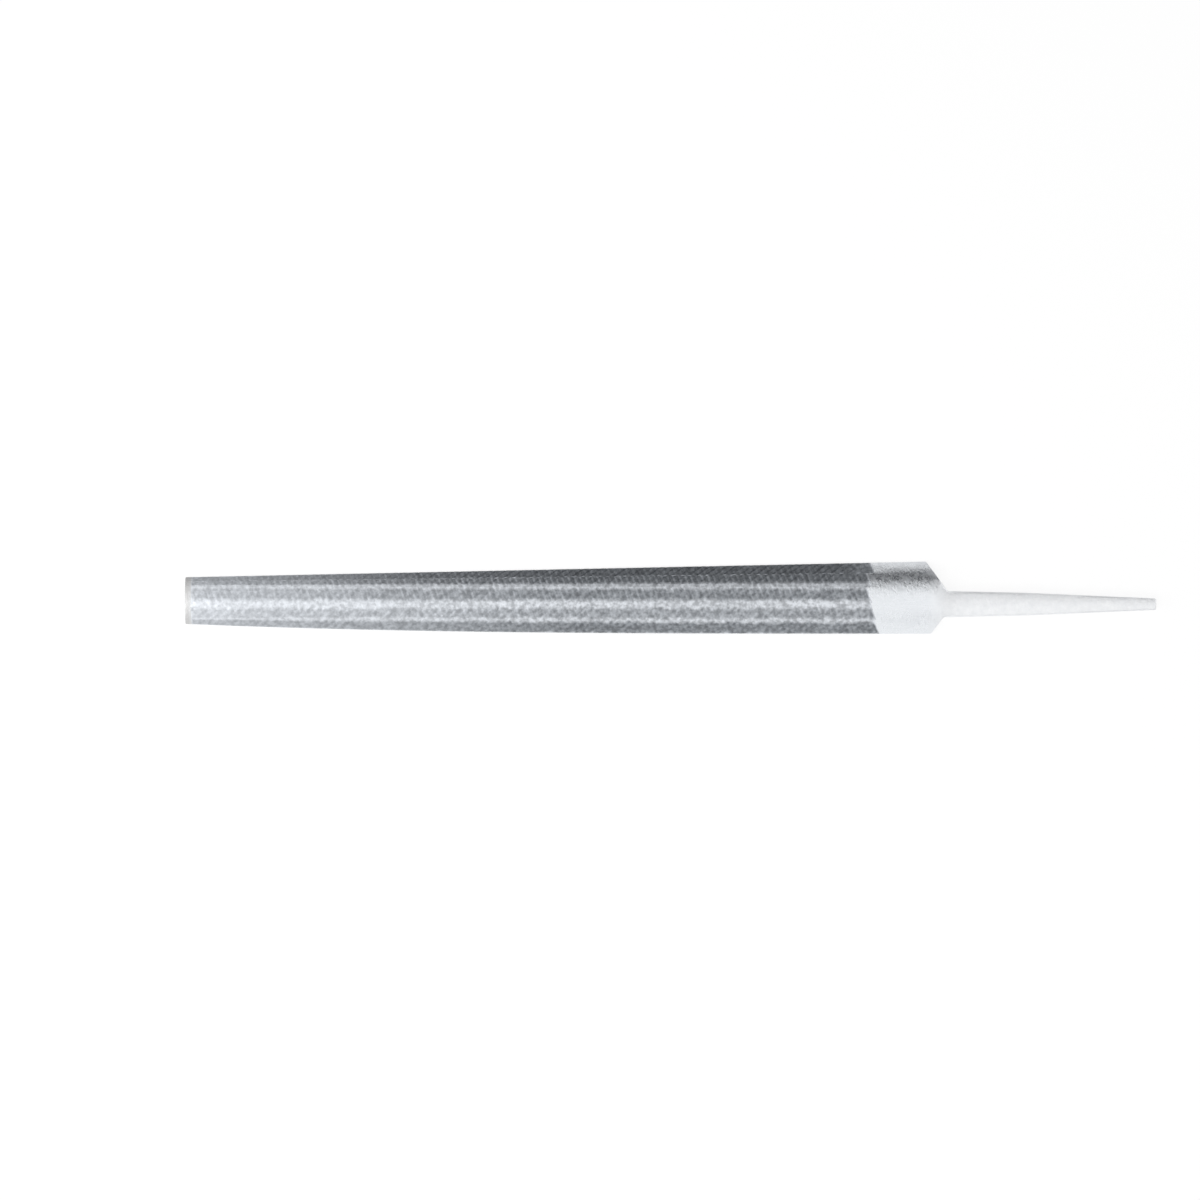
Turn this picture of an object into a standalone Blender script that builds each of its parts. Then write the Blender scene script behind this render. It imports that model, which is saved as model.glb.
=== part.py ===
"""A half round file with a 250 mm blade and a bare tang, ready for a handle.

The whole file is one bar of steel. The tang is drawn out of it, the teeth are raised from it with a
chisel, and nothing is fitted to it, so it is modelled as one solid. X runs from the tip to the tang,
Z points out of the round back, and the flat side lies on the plane Z = 0. Near means towards -Y and
far means towards +Y. While the file is built, X is 0 at the corner of the far shoulder.
"""

import math

import bmesh
import bpy
from mathutils import Vector

MM = 0.001

# The blade. Its far edge tapers evenly, and its near edge mostly in the front half
BLADE_LENGTH = 250 * MM
HEEL_WIDTH = 24.4 * MM
FAR_TAPER = 5.3 * MM  # how much nearer to the axis the far edge is at the tip than at the heel
NEAR_TAPER = 3.3 * MM
FAR_TAPER_POWER = 1.0
NEAR_TAPER_POWER = 3.2
HEEL_THICKNESS = 7.0 * MM
TIP_THICKNESS = 4.4 * MM
THICKNESS_TAPER_POWER = 1.7
EDGE_LAND = 0.8 * MM  # height of the blunt edge between the flat side and the back
TIP_CHAMFER = 0.4 * MM
BLADE_STATIONS = 12

# The shoulders and the ramps, which lead from the heel down to the tang
SHOULDER_ANGLE = math.radians(54.5)  # between the file's axis and a shoulder
NEAR_SHOULDER_LEAD = 1.4 * MM  # how much nearer to the tip the near shoulder meets the tang
RAMP_ANGLE = math.radians(25)  # between the file's axis and a ramp

# The tang, a tapered bar with chamfered corners, forged off the blade's axis
TANG_LENGTH = 70.4 * MM
TANG_OFFSET = -2.2 * MM  # of the tang's axis from the blade's, along Y
TANG_HEIGHT = 3.0 * MM  # of the tang's axis above the flat side
TANG_ROOT_WIDTH = 8.8 * MM
TANG_ROOT_THICKNESS = 4.4 * MM
TANG_WAIST_DISTANCE = 26.0 * MM  # from the root to where the taper steepens
TANG_WAIST_WIDTH = 7.7 * MM
TANG_WAIST_THICKNESS = 4.1 * MM
TANG_END_WIDTH = 3.9 * MM
TANG_END_THICKNESS = 2.6 * MM
TANG_CHAMFER = 0.7 * MM
TANG_ROOT_FILLET = 1.2 * MM
FILLET_STEPS = 4
TANG_SUNK = 3.0 * MM  # how far the tang's form reaches into the heel

# The teeth. The flat side is cut in one course of rows, and the back in five courses side by side
TOOTH_PITCH = 1.5 * MM  # square to the rows
FLAT_TOOTH_DEPTH = 0.35 * MM
ROW_LEAN = math.radians(17.5)  # between a row and the line across the blade
FACE_SHARE = 0.25  # of the pitch, taken by the steep face of a tooth, which looks at the tip
BARE_TIP = 2.1 * MM
BARE_HEEL = 18.2 * MM  # from the last row of teeth to the far shoulder's corner
HEEL_BORDER_SHARES = (-0.61, -0.15, 0.30, 0.63)  # where courses meet, from the axis to an edge
TIP_BORDER_SHARES = (-0.78, -0.22, 0.51, 0.75)
EDGE_REACH_SHARE = 1.05  # how far an outer course's chord reaches, as a share of the edge's angle
BACK_DEPTH_SHARE = 1.4  # of the depth of the chord from border to border
COURSE_STAGGER = 1.1 * MM
STAGGER_SHARES = (-1.4, -0.2, 1.0, 0.9, 0.0)  # how much sooner each course stops than BARE_HEEL says
SNAP = 0.002 * MM  # a cut this near to a corner goes through it

COURSE_COLUMNS = 2
CUT_SLOT = 1  # the blade's second material
SMOOTH_BELOW = math.radians(20)

TANG_FAR_SIDE = TANG_OFFSET + TANG_ROOT_WIDTH / 2
TANG_NEAR_SIDE = TANG_OFFSET - TANG_ROOT_WIDTH / 2
TANG_TOP = TANG_HEIGHT + TANG_ROOT_THICKNESS / 2
TANG_BOTTOM = TANG_HEIGHT - TANG_ROOT_THICKNESS / 2
ROOT_X = (HEEL_WIDTH / 2 - TANG_FAR_SIDE) / math.tan(SHOULDER_ANGLE)
TIP_LINE_X = BARE_TIP - BLADE_LENGTH  # where the teeth start
HEEL_LINE_X = math.tan(ROW_LEAN) * HEEL_WIDTH / 2 - BARE_HEEL  # past the end of every row
OVERALL_LENGTH = BLADE_LENGTH + ROOT_X + TANG_LENGTH
ALONG = Vector((1.0, 0.0, 0.0))


def share_to_tip(x):
    """How far x is along the blade: 0 at the heel and 1 at the tip."""
    return max(0.0, -x / BLADE_LENGTH)


def edges(x):
    """Where the near and the far edge of the blade are at x, along Y."""
    near = HEEL_WIDTH / 2 - NEAR_TAPER * share_to_tip(x) ** NEAR_TAPER_POWER
    far = HEEL_WIDTH / 2 - FAR_TAPER * share_to_tip(x) ** FAR_TAPER_POWER
    return -near, far


def course_borders(x):
    """Where the courses meet at x, along Y, on lines that run straight from the heel to the tip."""
    ends = []
    for end_x, shares in ((0.0, HEEL_BORDER_SHARES), (-BLADE_LENGTH, TIP_BORDER_SHARES)):
        near, far = edges(end_x)
        ends.append([share * (far if share > 0 else -near) for share in shares])
    to_tip = share_to_tip(x)
    return [heel_y + (tip_y - heel_y) * to_tip for heel_y, tip_y in zip(*ends)]


def thickness(x):
    """The blade's thickness at x, in the middle of the back."""
    taper = HEEL_THICKNESS - TIP_THICKNESS
    return HEEL_THICKNESS - taper * share_to_tip(x) ** THICKNESS_TAPER_POWER


class BackArc:
    """The arc of the round back at x, from the near edge to the far one."""

    def __init__(self, x):
        near, far = edges(x)
        half_width = (far - near) / 2
        rise = thickness(x) - EDGE_LAND
        self.radius = (half_width**2 + rise**2) / (2 * rise)
        self.centre = Vector((x, (far + near) / 2, thickness(x) - self.radius))
        half_angle = math.atan2(half_width, self.radius - rise)
        inner = [math.asin((y - self.centre.y) / self.radius) for y in course_borders(x)]
        self.borders = [-half_angle, *inner, half_angle]

    def at(self, angle):
        """The point of the back at an angle from straight up, towards the far edge."""
        return self.centre + self.radius * Vector((0.0, math.sin(angle), math.cos(angle)))

    def angle_of(self, point):
        """The angle at which point lies round the arc's centre, 0 at the top."""
        return math.atan2(point.y - self.centre.y, point.z - self.centre.z)


def blade_section(x, inset=0.0):
    """The outline across the blade at x: the back from the near edge to the far one, then the flat."""
    arc = BackArc(x)
    near, far = edges(x)
    outline = []
    for start, end in zip(arc.borders, arc.borders[1:]):
        angles = [start + (end - start) * i / COURSE_COLUMNS for i in range(COURSE_COLUMNS)]
        outline += [arc.at(angle) for angle in angles]
    outline += [arc.at(arc.borders[-1]), Vector((x, far, 0.0)), Vector((x, near, 0.0))]
    narrower = 1 - 2 * inset / (far - near)
    thinner = 1 - 2 * inset / thickness(x)
    middle = arc.centre.y
    return [Vector((x, middle + (p.y - middle) * narrower, inset + p.z * thinner)) for p in outline]


def loft(bm, sections):
    """Joins outlines of equally many points into a closed skin with a flat cap at each end.

    Each face remembers its column, counted from 1. The caps, and faces made later, have column 0.
    """
    column = bm.faces.layers.int.new("column")
    rings = [[bm.verts.new(point) for point in section] for section in sections]
    for ring, following in zip(rings, rings[1:]):
        for i in range(len(ring)):
            j = (i + 1) % len(ring)
            face = bm.faces.new((ring[i], ring[j], following[j], following[i]))
            face[column] = i + 1
    bm.faces.new(rings[0][::-1])
    bm.faces.new(rings[-1])
    bmesh.ops.recalc_face_normals(bm, faces=bm.faces[:])
    return column


def with_edges_and_corners(faces):
    """The faces together with all their edges and corners, as the bmesh operators want them."""
    found = set(faces)
    for face in faces:
        found.update(face.edges)
        found.update(face.verts)
    return list(found)


def trim(bm, point, normal):
    """Cuts away what lies beyond a plane, and closes the cut with a flat face."""
    cut = bmesh.ops.bisect_plane(
        bm,
        geom=with_edges_and_corners(bm.faces),
        dist=SNAP,
        plane_co=point,
        plane_no=normal,
        clear_outer=True,
    )
    rim = [item for item in cut["geom_cut"] if isinstance(item, bmesh.types.BMEdge)]
    bmesh.ops.edgeloop_fill(bm, edges=rim)


def split(bm, faces, point, normal):
    """Scores faces along a plane, and returns those before it and those beyond it."""
    cut = bmesh.ops.bisect_plane(
        bm,
        geom=with_edges_and_corners(faces),
        dist=SNAP,
        plane_co=point,
        plane_no=normal,
    )
    before = []
    beyond = []
    for item in cut["geom"]:
        if isinstance(item, bmesh.types.BMFace):
            side = (item.calc_center_median() - point).dot(normal)
            (beyond if side > 0 else before).append(item)
    return before, beyond


def blade_blank(bm):
    """The ground blade with its heel, before any tooth is cut."""
    toothed_length = HEEL_LINE_X - TIP_LINE_X
    stations = [TIP_LINE_X + toothed_length * i / BLADE_STATIONS for i in range(BLADE_STATIONS + 1)]
    sections = [blade_section(-BLADE_LENGTH, TIP_CHAMFER)]
    sections += [blade_section(x) for x in (TIP_CHAMFER - BLADE_LENGTH, *stations, 0.0)]
    sections.append(blade_section(ROOT_X + TANG_ROOT_FILLET))
    column = loft(bm, sections)
    sine, cosine = math.sin(SHOULDER_ANGLE), math.cos(SHOULDER_ANGLE)
    near_root_x = ROOT_X - NEAR_SHOULDER_LEAD
    trim(bm, Vector((ROOT_X, TANG_FAR_SIDE, 0.0)), Vector((sine, cosine, 0.0)))
    trim(bm, Vector((near_root_x, TANG_NEAR_SIDE, 0.0)), Vector((sine, -cosine, 0.0)))
    sine, cosine = math.sin(RAMP_ANGLE), math.cos(RAMP_ANGLE)
    trim(bm, Vector((ROOT_X, 0.0, TANG_TOP)), Vector((sine, 0.0, cosine)))
    trim(bm, Vector((ROOT_X, 0.0, TANG_BOTTOM)), Vector((sine, 0.0, -cosine)))
    return column


class Course:
    """A strip of the blade that the chisel cuts in one pass, in slanting rows from tip to heel.

    The strip's middle at the heel faces the given angle round the file's axis, 0 being upwards.
    """

    step = TOOTH_PITCH / math.cos(ROW_LEAN)

    def __init__(self, columns, facing, middle, last_row):
        across = Vector((0.0, math.cos(facing), -math.sin(facing)))
        self.columns = columns
        self.middle = middle
        self.last_row = last_row
        self.normal = ALONG * math.cos(ROW_LEAN) + across * math.sin(ROW_LEAN)

    def lead(self, point):
        """Where the row through point crosses the strip's middle, along X."""
        return self.normal.dot(point - self.middle) / math.cos(ROW_LEAN)

    def score(self, bm, faces, lead):
        """Scores faces along the row that crosses the strip's middle at lead."""
        return split(bm, faces, self.middle + ALONG * lead, self.normal)

    def score_rows(self, bm, column):
        """Scores the line of every tooth's root and crest, and marks the faces between as cut."""
        strip = [
            face
            for face in bm.faces
            if face[column] in self.columns and face.calc_center_median().x > TIP_LINE_X
        ]
        strip, _ = self.score(bm, strip, self.last_row)
        for face in strip:
            face.material_index = CUT_SLOT
        first = min(self.lead(corner.co) for face in strip for corner in face.verts)
        for row in range(math.ceil((self.last_row - first) / self.step), -1, -1):
            crest = self.last_row - row * self.step
            for lead in (crest - FACE_SHARE * self.step, crest):
                _, strip = self.score(bm, strip, lead)

    def sink_roots(self, bm, column):
        """Sinks the root of every tooth. The crests stay where they were ground."""
        cut = [
            face
            for face in bm.faces
            if face[column] in self.columns and face.material_index == CUT_SLOT
        ]
        for corner in {corner for face in cut for corner in face.verts}:
            fade = min(1.0, (corner.co.x - TIP_LINE_X) / self.step)
            corner.co += self.root(corner.co) * self.share_sunk(corner.co) * fade

    def share_sunk(self, point):
        """How deep point lies between a crest, where it is 0, and a root, where it is 1."""
        phase = (self.lead(point) - self.last_row) / self.step % 1.0
        return min(phase / (1 - FACE_SHARE), (1 - phase) / FACE_SHARE)


class FlatCourse(Course):
    """The one course of the flat side, equally deep all over."""

    def __init__(self, columns):
        super().__init__(columns, math.pi, Vector(), -BARE_HEEL)

    def root(self, _point):
        """The way from the ground surface to the tooth's root."""
        return Vector((0.0, 0.0, FLAT_TOOTH_DEPTH))


class BackCourse(Course):
    """A course of the back. The chisel is straight, so its cut is deepest in the strip's middle."""

    def __init__(self, index, last_row):
        self.index = index
        columns = range(1 + index * COURSE_COLUMNS, 1 + (index + 1) * COURSE_COLUMNS)
        heel = BackArc(0.0)
        start, end = self.limits(heel)
        facing = (start + end) / 2
        super().__init__(columns, facing, heel.at(facing), last_row)

    def limits(self, arc):
        """The angles that the chisel spans. It reaches past the edges of the blade."""
        start, end = arc.borders[self.index], arc.borders[self.index + 1]
        if self.index == 0:
            start *= EDGE_REACH_SHARE
        if self.index == len(STAGGER_SHARES) - 1:
            end *= EDGE_REACH_SHARE
        return start, end

    def root(self, point):
        """The way from the ground surface straight in, by how far the chord lies below the arc."""
        arc = BackArc(point.x)
        start, end = self.limits(arc)
        angle = arc.angle_of(point)
        chord = math.cos((end - start) / 2) / math.cos(angle - (start + end) / 2)
        depth = max(0.0, arc.radius * (1 - chord)) * BACK_DEPTH_SHARE
        return Vector((0.0, -math.sin(angle), -math.cos(angle))) * depth


def courses():
    """All the courses of the blade: the back's from the near edge to the far one, then the flat's."""
    for index, stagger_share in enumerate(STAGGER_SHARES):
        yield BackCourse(index, -BARE_HEEL - COURSE_STAGGER * stagger_share)
    far_land = 1 + len(STAGGER_SHARES) * COURSE_COLUMNS
    yield FlatCourse([far_land + 1])


def is_station_line(edge):
    """True for a line left straight across the teeth by a section of the loft."""
    start, end = edge.verts
    within_teeth = all(face.material_index == CUT_SLOT for face in edge.link_faces)
    return within_teeth and abs(start.co.x - end.co.x) < SNAP


def blade(bm):
    """The blade and its heel, with the teeth cut."""
    column = blade_blank(bm)
    for course in courses():
        course.score_rows(bm, column)
    station_lines = [edge for edge in bm.edges if is_station_line(edge)]
    bmesh.ops.dissolve_edges(bm, edges=station_lines, use_verts=True)
    for course in courses():
        course.sink_roots(bm, column)
    bmesh.ops.triangulate(bm, faces=bm.faces[:])


def tang_section(x, width, thickness_there, near_lead=0.0):
    """The outline across the tang at x, a rectangle with its four corners cut off.

    Its near side is nearer to the tip by near_lead.
    """
    half_width = width / 2
    half_thickness = thickness_there / 2
    outline = []
    for y_sign, z_sign in ((-1, 1), (1, 1), (1, -1), (-1, -1)):
        on_side = (y_sign * half_width, z_sign * (half_thickness - TANG_CHAMFER))
        on_face = (y_sign * (half_width - TANG_CHAMFER), z_sign * half_thickness)
        outline += [on_side, on_face] if y_sign * z_sign < 0 else [on_face, on_side]
    return [
        Vector((x - near_lead * (half_width - y) / width, TANG_OFFSET + y, TANG_HEIGHT + z))
        for y, z in outline
    ]


def tang(bm):
    """The tang, from inside the heel to its end, with a fillet where it leaves the shoulders."""
    start_x = ROOT_X - TANG_SUNK
    sections = [tang_section(start_x, TANG_ROOT_WIDTH, TANG_ROOT_THICKNESS, NEAR_SHOULDER_LEAD)]
    fillet_end_x = ROOT_X + TANG_ROOT_FILLET * math.tan(SHOULDER_ANGLE / 2)
    for i in range(FILLET_STEPS + 1):
        angle = SHOULDER_ANGLE * (1 - i / FILLET_STEPS)
        x = fillet_end_x - TANG_ROOT_FILLET * math.sin(angle)
        width = TANG_ROOT_WIDTH + 2 * TANG_ROOT_FILLET * (1 - math.cos(angle))
        sections.append(tang_section(x, width, TANG_ROOT_THICKNESS, NEAR_SHOULDER_LEAD))
    waist_x = ROOT_X + TANG_WAIST_DISTANCE
    sections.append(tang_section(waist_x, TANG_WAIST_WIDTH, TANG_WAIST_THICKNESS))
    end_x = ROOT_X + TANG_LENGTH
    sections.append(tang_section(end_x, TANG_END_WIDTH, TANG_END_THICKNESS))
    loft(bm, sections)


def steel(name, colour, roughness):
    """A bare steel surface."""
    material = bpy.data.materials.new(name)
    material.use_nodes = True
    shader = material.node_tree.nodes["Principled BSDF"]
    shader.inputs["Base Color"].default_value = (*colour, 1.0)
    shader.inputs["Metallic"].default_value = 1.0
    shader.inputs["Roughness"].default_value = roughness
    return material


def made_object(name, build, materials):
    """A new object in the scene, with the mesh that build makes, centred along X."""
    bm = bmesh.new()
    build(bm)
    mesh = bpy.data.meshes.new(name)
    bm.to_mesh(mesh)
    bm.free()
    mesh.shade_smooth()
    mesh.set_sharp_from_angle(angle=SMOOTH_BELOW)
    for material in materials:
        mesh.materials.append(material)
    made = bpy.data.objects.new(name, mesh)
    made.location.x = BLADE_LENGTH - OVERALL_LENGTH / 2
    bpy.context.scene.collection.objects.link(made)
    return made


def main():
    for old in list(bpy.data.objects):
        bpy.data.objects.remove(old)
    ground = steel("ground_steel", (0.80, 0.81, 0.83), 0.30)
    cut = steel("cut_steel", (0.55, 0.56, 0.58), 0.45)
    file_bar = made_object("blade_and_tang", blade, [ground, cut])
    tang_form = made_object("tang_form", tang, [ground])
    tang_form.hide_render = True
    tang_form.display_type = "WIRE"
    drawn_out = file_bar.modifiers.new("drawn_out_tang", "BOOLEAN")
    drawn_out.operation = "UNION"
    drawn_out.object = tang_form


main()
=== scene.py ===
"""The half round file as it looks: double cut teeth, a ground heel and tip, and a forged tang.

One mesh stands for the file's one piece. While it is made, X is 0 at the corner of the far shoulder, the
tip is at -BLADE_LENGTH, the flat side lies on Z = 0, near means towards -Y and far means towards +Y.
"""

import bisect
import math
import random

import bmesh
import bpy
import numpy as np
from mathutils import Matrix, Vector


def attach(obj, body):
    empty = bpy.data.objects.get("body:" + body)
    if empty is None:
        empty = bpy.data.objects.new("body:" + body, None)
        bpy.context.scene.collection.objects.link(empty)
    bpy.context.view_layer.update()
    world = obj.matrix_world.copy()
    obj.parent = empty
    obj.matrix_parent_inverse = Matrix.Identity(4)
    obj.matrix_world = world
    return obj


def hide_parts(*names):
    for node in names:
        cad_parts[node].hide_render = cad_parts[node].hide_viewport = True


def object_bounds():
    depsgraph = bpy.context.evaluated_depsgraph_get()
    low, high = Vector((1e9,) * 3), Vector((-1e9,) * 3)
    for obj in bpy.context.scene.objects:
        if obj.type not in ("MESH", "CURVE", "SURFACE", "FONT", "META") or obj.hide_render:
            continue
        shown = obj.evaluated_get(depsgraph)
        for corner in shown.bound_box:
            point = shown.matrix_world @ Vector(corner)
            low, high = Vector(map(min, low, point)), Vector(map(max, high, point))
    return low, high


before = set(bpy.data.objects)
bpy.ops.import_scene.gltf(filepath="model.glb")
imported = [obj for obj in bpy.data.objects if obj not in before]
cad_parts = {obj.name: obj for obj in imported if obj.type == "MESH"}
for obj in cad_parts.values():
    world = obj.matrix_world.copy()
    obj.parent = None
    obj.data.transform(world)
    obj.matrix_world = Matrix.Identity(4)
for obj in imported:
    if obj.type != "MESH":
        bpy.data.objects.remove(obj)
CAD_LOW, CAD_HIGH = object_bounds()

METRE = 1.0
MM = 0.001 * METRE
NODE = "blade_and_tang"

# The blade, whose width and thickness at the heel are the frame's
BLADE_LENGTH = 250 * MM
HEEL_WIDTH = CAD_HIGH.y - CAD_LOW.y
HEEL_THICKNESS = CAD_HIGH.z
FAR_TAPER = 5.3 * MM
NEAR_TAPER = 3.3 * MM
FAR_TAPER_POWER = 1.0
NEAR_TAPER_POWER = 3.2
TIP_THICKNESS = 4.4 * MM
THICKNESS_TAPER_POWER = 1.7
EDGE_LAND = 0.8 * MM
TIP_ROUNDING = 0.25 * MM
TIP_ROUNDING_STEPS = 3
BLADE_STATIONS = 16

# The shoulders, the ramps and the tang
HEEL_X = CAD_LOW.x + BLADE_LENGTH  # where the far shoulder's corner is in the frame
SHOULDER_ANGLE = math.radians(54.5)
NEAR_SHOULDER_LEAD = 1.4 * MM
RAMP_ANGLE = math.radians(25)
TANG_OFFSET = -2.2 * MM
TANG_HEIGHT = 3.0 * MM
TANG_ROOT_WIDTH = 8.8 * MM
TANG_ROOT_THICKNESS = 4.4 * MM
TANG_WAIST_DISTANCE = 26.0 * MM
TANG_WAIST_WIDTH = 7.7 * MM
TANG_WAIST_THICKNESS = 4.1 * MM
TANG_END_WIDTH = 3.9 * MM
TANG_END_THICKNESS = 2.6 * MM
SHOULDER_FILLET = 1.0 * MM  # over which a shoulder runs out into the tang
RAMP_FILLET = 2.5 * MM
BLADE_ROUNDING = 0.03 * MM
HEEL_ROUNDING = 0.22 * MM
TANG_ROUNDING_SHARE = 0.16  # of the tang's thickness
TANG_CROWN_SHARE = 0.065  # how far its top falls off to its sides, of its width
END_ROUNDING = 0.7 * MM
END_STEPS = 5

# The teeth, which two passes of the chisel cut across each other
BARE_TIP = 2.1 * MM
BARE_HEEL = 18.2 * MM
UPCUT_LEAN = math.radians(17.5)
UPCUT_PITCH = 1.9 * MM
UPCUT_SHARE = 0.42  # of the whole depth
OVERCUT_LEAN = math.radians(-45)
OVERCUT_PITCH = 2.0 * MM
OVERCUT_SHARE = 0.58
FACE_SHARE = 0.36  # of the pitch, which a tooth's steep face takes up
PITCH_UNEVENNESS = 0.09  # of the pitch, either way
DEPTH_UNEVENNESS = 0.30  # of the depth, either way
REACH_UNEVENNESS = 0.07  # of a course's width, either way, in how far a row reaches
FLAT_TOOTH_DEPTH = 0.36 * MM
BACK_TOOTH_DEPTH = 0.26 * MM
LEAST_DEPTH = 0.05 * MM  # at the borders of a course
TIP_DEPTH_SHARE = 0.35  # the teeth get shallower towards the tip
SHALLOW_LENGTH = 130 * MM  # over which they do so
HEEL_BORDER_SHARES = (-0.61, -0.15, 0.30, 0.70)  # where courses meet, from the axis to an edge
TIP_BORDER_SHARES = (-0.78, -0.22, 0.54, 0.79)
COURSE_STAGGER = 1.1 * MM
STAGGER_SHARES = (-1.4, -0.2, 1.0, 0.9, 0.0)
RUN_OUT_SHARE = 0.22  # over which the cut fades out at both borders of a course
# How far from its near and far border each course is hardly cut, or how far past them its cut runs
SEAM_SHARES = ((-0.10, 0.09), (-0.06, 0.20), (0.09, 0.03), (0.23, -0.17), (-0.17, -0.10))
COURSE_DEPTH_SHARES = (1.0, 0.76, 0.92, 0.95, 0.88)
NARROWEST_SHARE = 0.03  # of a course's width, for the columns at its borders
COURSE_COLUMNS = 5
FLAT_COLUMNS = 6
END_FADE = 0.5 * MM  # over which the cut gets its depth at the tip's line and at the last row
CREST_SHADE_SHARE = 0.8  # of the painted shade down in a root, which a crest gets
SNAP = 0.002 * MM  # distances below this count as none

# How finely the heel and the tang are made
FINE_PARTS = 4  # of each column of the blade
HEEL_STEP = 1.6 * MM
SHOULDER_STEP = 0.2 * MM
TANG_STEP = 2.5 * MM
HALVINGS = 26
RAY_REACH = 1.5  # how far out the surface is looked for, in the sharp outline's distances

# How the mesh is marked, shaded and varied
CUT_SLOT = 1  # the material slot of the toothed faces
SMOOTH_BELOW = math.radians(32)  # the largest angle between bare faces that looks round
SEED = 7

TANG_FAR_SIDE = TANG_OFFSET + TANG_ROOT_WIDTH / 2
TANG_NEAR_SIDE = TANG_OFFSET - TANG_ROOT_WIDTH / 2
ROOT_X = (HEEL_WIDTH / 2 - TANG_FAR_SIDE) / math.tan(SHOULDER_ANGLE)
END_X = CAD_HIGH.x - HEEL_X
TIP_LINE_X = BARE_TIP - BLADE_LENGTH
HEEL_LINE_X = math.tan(UPCUT_LEAN) * HEEL_WIDTH / 2 - BARE_HEEL
BACK_COLUMNS = len(STAGGER_SHARES) * COURSE_COLUMNS
FLAT_START = BACK_COLUMNS + 2  # the flat side's first column, after the back's and the far land
FLAT_SIDE = range(FLAT_START, FLAT_START + FLAT_COLUMNS)
ALONG = Vector((1.0, 0.0, 0.0))


def share_to_tip(x):
    """How far x is along the blade: 0 at the heel and 1 at the tip."""
    return max(0.0, -x / BLADE_LENGTH)


def smooth_step(value, start, end):
    """Rises smoothly from 0 where value is at start to 1 where it is at end."""
    share = max(0.0, min(1.0, (value - start) / (end - start)))
    return share * share * (3 - 2 * share)


def soft_max(first, second, reach):
    """The larger of two lengths, rounded off where they are within reach of each other."""
    overlap = max(reach - abs(first - second), 0.0)
    return max(first, second) + overlap * overlap / (4 * reach)


def edges(x):
    """Where the near and the far edge of the blade are at x, along Y."""
    near = HEEL_WIDTH / 2 - NEAR_TAPER * share_to_tip(x) ** NEAR_TAPER_POWER
    far = HEEL_WIDTH / 2 - FAR_TAPER * share_to_tip(x) ** FAR_TAPER_POWER
    return -near, far


def course_borders(x):
    """Where the courses meet at x, along Y, on lines that run straight from the heel to the tip."""
    ends = []
    for end_x, shares in ((0.0, HEEL_BORDER_SHARES), (-BLADE_LENGTH, TIP_BORDER_SHARES)):
        near, far = edges(end_x)
        ends.append([share * (far if share > 0 else -near) for share in shares])
    to_tip = share_to_tip(x)
    return [heel_y + (tip_y - heel_y) * to_tip for heel_y, tip_y in zip(*ends)]


def thickness(x):
    """The blade's thickness at x, in the middle of the back."""
    taper = HEEL_THICKNESS - TIP_THICKNESS
    return HEEL_THICKNESS - taper * share_to_tip(x) ** THICKNESS_TAPER_POWER


class BackArc:
    """The arc of the round back at x, from the near edge to the far one."""

    def __init__(self, x):
        near, far = edges(x)
        half_width = (far - near) / 2
        rise = thickness(x) - EDGE_LAND
        self.radius = (half_width**2 + rise**2) / (2 * rise)
        self.centre = Vector((x, (far + near) / 2, thickness(x) - self.radius))
        half_angle = math.atan2(half_width, self.radius - rise)
        self.borders = [-half_angle, *(self.above(y) for y in course_borders(x)), half_angle]

    def at(self, angle):
        """The point of the back at an angle from straight up, towards the far edge."""
        return self.centre + self.radius * Vector((0.0, math.sin(angle), math.cos(angle)))

    def above(self, y):
        """The angle of the point that lies at y."""
        return math.asin((y - self.centre.y) / self.radius)

    def angle_of(self, point):
        """The angle at which point lies round the arc's centre."""
        return math.atan2(point.y - self.centre.y, point.z - self.centre.z)


def between(start, end, parts):
    """The values that divide the way from start to end evenly, with start and without end."""
    return [start + (end - start) * i / parts for i in range(parts)]


def column_shares():
    """For each course, where its columns start and end, as shares of the way across it."""
    for near_seam, far_seam in SEAM_SHARES:
        near_cut, far_cut = near_seam + RUN_OUT_SHARE, 1 - far_seam - RUN_OUT_SHARE
        near, far = max(near_seam, NARROWEST_SHARE), 1 - max(far_seam, NARROWEST_SHARE)
        yield (0.0, near, near_cut, far_cut, far, 1.0)


def back_angles(arc, parts):
    """The angles of the lines between the columns of the back, and of their parts."""
    for start, end, shares in zip(arc.borders, arc.borders[1:], column_shares()):
        for first, second in zip(shares, shares[1:]):
            for share in between(first, second, parts):
                yield start + (end - start) * share


def blade_section(x, inset=0.0, parts=1):
    """The outline across the blade at x: the back from the near edge to the far one, then the flat.

    Each column of the blade has that many parts.
    """
    arc = BackArc(x)
    near, far = edges(x)
    outline = [arc.at(angle) for angle in back_angles(arc, parts)]
    outline += [Vector((x, far, z)) for z in between(EDGE_LAND, 0.0, parts)]
    outline += [Vector((x, y, 0.0)) for y in between(far, near, FLAT_COLUMNS * parts)]
    outline += [Vector((x, near, z)) for z in between(0.0, EDGE_LAND, parts)]
    narrower = 1 - 2 * inset / (far - near)
    thinner = 1 - 2 * inset / thickness(x)
    middle = arc.centre.y
    return [Vector((x, middle + (p.y - middle) * narrower, inset + p.z * thinner)) for p in outline]


def tang_size(x, root, waist, end):
    """The tang's width or thickness at x, which narrows slowly to its waist and faster after it."""
    beyond_root = x - ROOT_X
    if beyond_root < TANG_WAIST_DISTANCE:
        return root + (waist - root) * max(0.0, beyond_root) / TANG_WAIST_DISTANCE
    share = (beyond_root - TANG_WAIST_DISTANCE) / (END_X - ROOT_X - TANG_WAIST_DISTANCE)
    return waist + (end - waist) * share


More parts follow.
